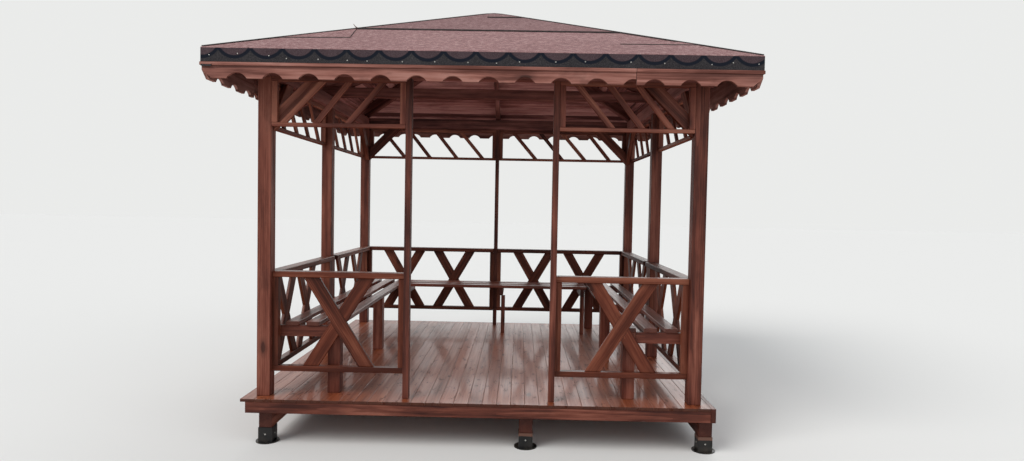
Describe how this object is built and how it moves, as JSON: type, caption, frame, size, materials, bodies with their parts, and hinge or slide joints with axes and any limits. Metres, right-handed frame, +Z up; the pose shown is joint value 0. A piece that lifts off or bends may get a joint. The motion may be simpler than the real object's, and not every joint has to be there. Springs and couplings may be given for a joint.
{
  "type": "garden gazebo",
  "caption": "Square open timber gazebo on a raised floor, with cross-braced railings, lattice friezes, built-in benches and a hipped roof with a scalloped fascia.",
  "frame": {"origin": "middle of the plan, on the ground at the underside of the steel shoes", "axes": "+X to the right seen from the entrance, +Y from the entrance to the back, +Z up"},
  "size_m": [3.534, 3.534, 3.3323],
  "materials": {
    "frame_timber": "red-brown stain under clear varnish, satin to gloss",
    "lattice_timber": "red-brown stain under clear varnish",
    "seat_planks": "red-brown stain, glossy varnish",
    "deck_boards": "red-brown stain, high gloss floor varnish",
    "roof_boards": "tongue-and-groove boards, stained red-brown",
    "fascia_boards": "stained and varnished, lighter than the frame",
    "bitumen_covering": "matt red-brown mineral granules on bitumen felt",
    "shoe_steel": "black paint",
    "fixings": "zinc-plated nails in the covering's edge and screws in the shoes"
  },
  "bodies": {
    "root": {"bench_bearers": "frame_timber", "bench_legs": "frame_timber", "centre_rafters": "frame_timber", "corner_braces": "frame_timber", "corner_posts": "frame_timber", "covering_front": "bitumen_covering", "covering_left": "bitumen_covering", "covering_rear": "bitumen_covering", "covering_right": "bitumen_covering", "cross_braces_halves": "lattice_timber", "cross_braces_whole": "lattice_timber", "deck": "deck_boards", "edge_board": "frame_timber", "fascia_front": "fascia_boards", "fascia_left": "fascia_boards", "fascia_rear": "fascia_boards", "fascia_right": "fascia_boards", "floor_bearers": "frame_timber", "floor_joists": "frame_timber", "foot_rails": "lattice_timber", "foot_stubs": "frame_timber", "frieze_rails": "lattice_timber", "frieze_slats": "lattice_timber", "frieze_stiles": "lattice_timber", "handrails": "lattice_timber", "hip_rafters": "frame_timber", "king_block": "frame_timber", "post_shoes": "shoe_steel", "railing_stiles": "lattice_timber", "rim_boards_front_rear": "frame_timber", "rim_boards_sides": "frame_timber", "roof_boards_front": "roof_boards", "roof_boards_left": "roof_boards", "roof_boards_rear": "roof_boards", "roof_boards_right": "roof_boards", "roof_cap": "bitumen_covering", "seat_left": "seat_planks", "seat_rear": "seat_planks", "seat_right": "seat_planks", "side_floor_beams": "frame_timber", "side_posts": "frame_timber", "slim_posts": "frame_timber", "tie_beam": "frame_timber", "top_beams_front_rear": "frame_timber", "top_beams_sides": "frame_timber"}
  },
  "joints": []
}
